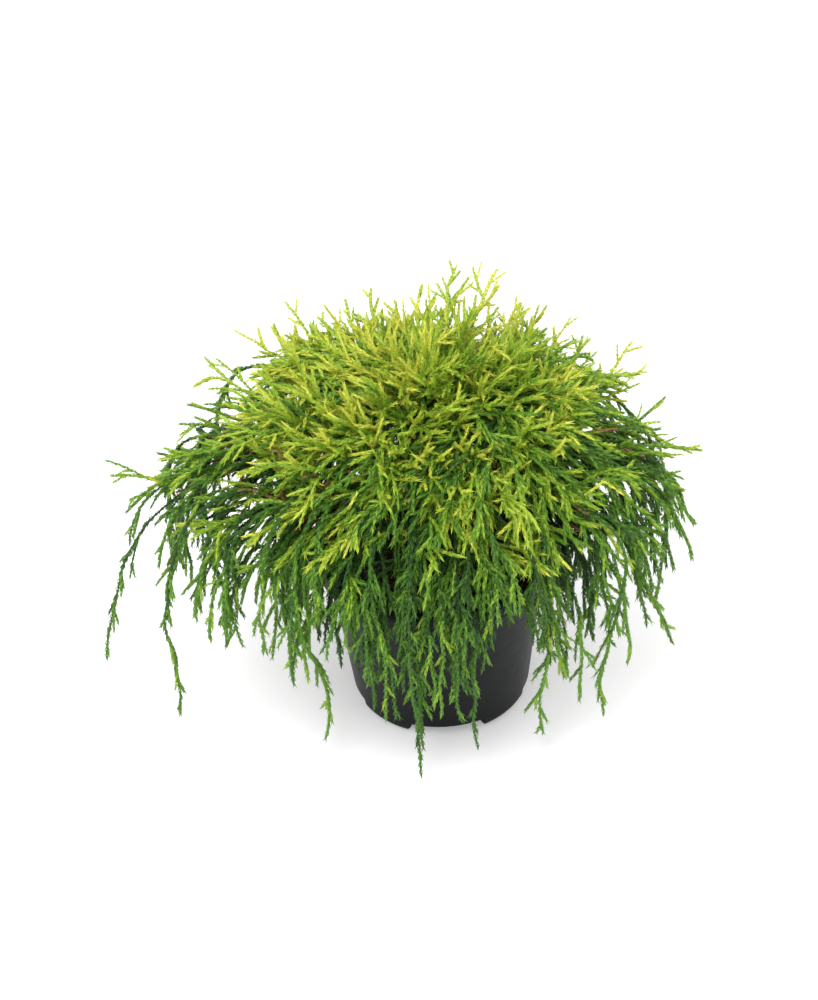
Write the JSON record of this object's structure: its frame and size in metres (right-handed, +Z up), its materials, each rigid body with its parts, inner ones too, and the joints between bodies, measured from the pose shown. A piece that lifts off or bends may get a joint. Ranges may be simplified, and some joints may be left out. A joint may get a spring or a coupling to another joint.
{
  "type": "potted threadleaf sawara cypress",
  "caption": "Low weeping mound of golden-green threadleaf cypress foliage on a short woody stem, growing in a round black nursery pot.",
  "frame": {"origin": "middle of the pot's flat underside, on the surface the plant stands on", "axes": "+Z up; -Y is the side the picture shows; +X to the viewer's right"},
  "size_m": [0.3186, 0.232, 0.2327],
  "materials": {
    "pot_plastic": "satin",
    "compost": "matte",
    "bark": "matte",
    "foliage_gold": "matte",
    "foliage_lime": "matte",
    "foliage_green": "matte",
    "foliage_deep": "matte"
  },
  "bodies": {
    "root": {"pot": "pot_plastic", "compost": "compost", "stem": "bark", "bough_01": "bark", "bough_02": "bark", "bough_03": "bark", "bough_04": "bark", "bough_05": "bark", "bough_06": "bark", "bough_07": "bark", "bough_08": "bark", "bough_09": "bark", "bough_10": "bark", "bough_11": "bark", "bough_12": "bark", "foliage_top_01": "foliage_gold", "foliage_top_02": "foliage_gold", "foliage_top_03": "foliage_gold", "foliage_top_04": "foliage_gold", "foliage_top_05": "foliage_gold", "foliage_top_middle": "foliage_gold", "foliage_shoulder_01": "foliage_lime", "foliage_shoulder_02": "foliage_lime", "foliage_shoulder_03": "foliage_lime", "foliage_shoulder_04": "foliage_lime", "foliage_shoulder_05": "foliage_lime", "foliage_shoulder_06": "foliage_lime", "foliage_shoulder_07": "foliage_lime", "foliage_shoulder_08": "foliage_lime", "foliage_shoulder_09": "foliage_lime", "foliage_hanging_01": "foliage_green", "foliage_hanging_02": "foliage_green", "foliage_hanging_03": "foliage_green", "foliage_hanging_04": "foliage_green", "foliage_hanging_05": "foliage_green", "foliage_hanging_06": "foliage_green", "foliage_hanging_07": "foliage_green", "foliage_hanging_08": "foliage_green", "foliage_hanging_09": "foliage_green", "foliage_hanging_10": "foliage_green", "foliage_hanging_11": "foliage_green", "foliage_skirt_01": "foliage_deep", "foliage_skirt_02": "foliage_deep", "foliage_skirt_03": "foliage_deep", "foliage_skirt_04": "foliage_deep", "foliage_skirt_05": "foliage_deep", "foliage_skirt_06": "foliage_deep", "spray_arching_left": "foliage_lime", "spray_upper_left": "foliage_lime", "spray_back_left": "foliage_gold", "spray_top_back": "foliage_gold", "spray_top_right": "foliage_gold", "spray_back_right": "foliage_lime", "spray_reaching_right": "foliage_lime", "spray_drooping_left_outer": "foliage_green", "spray_drooping_left_inner": "foliage_green", "spray_drooping_right": "foliage_green", "spray_dripping_left": "foliage_green", "spray_dripping_front": "foliage_green", "spray_dripping_right": "foliage_green"}
  },
  "joints": []
}
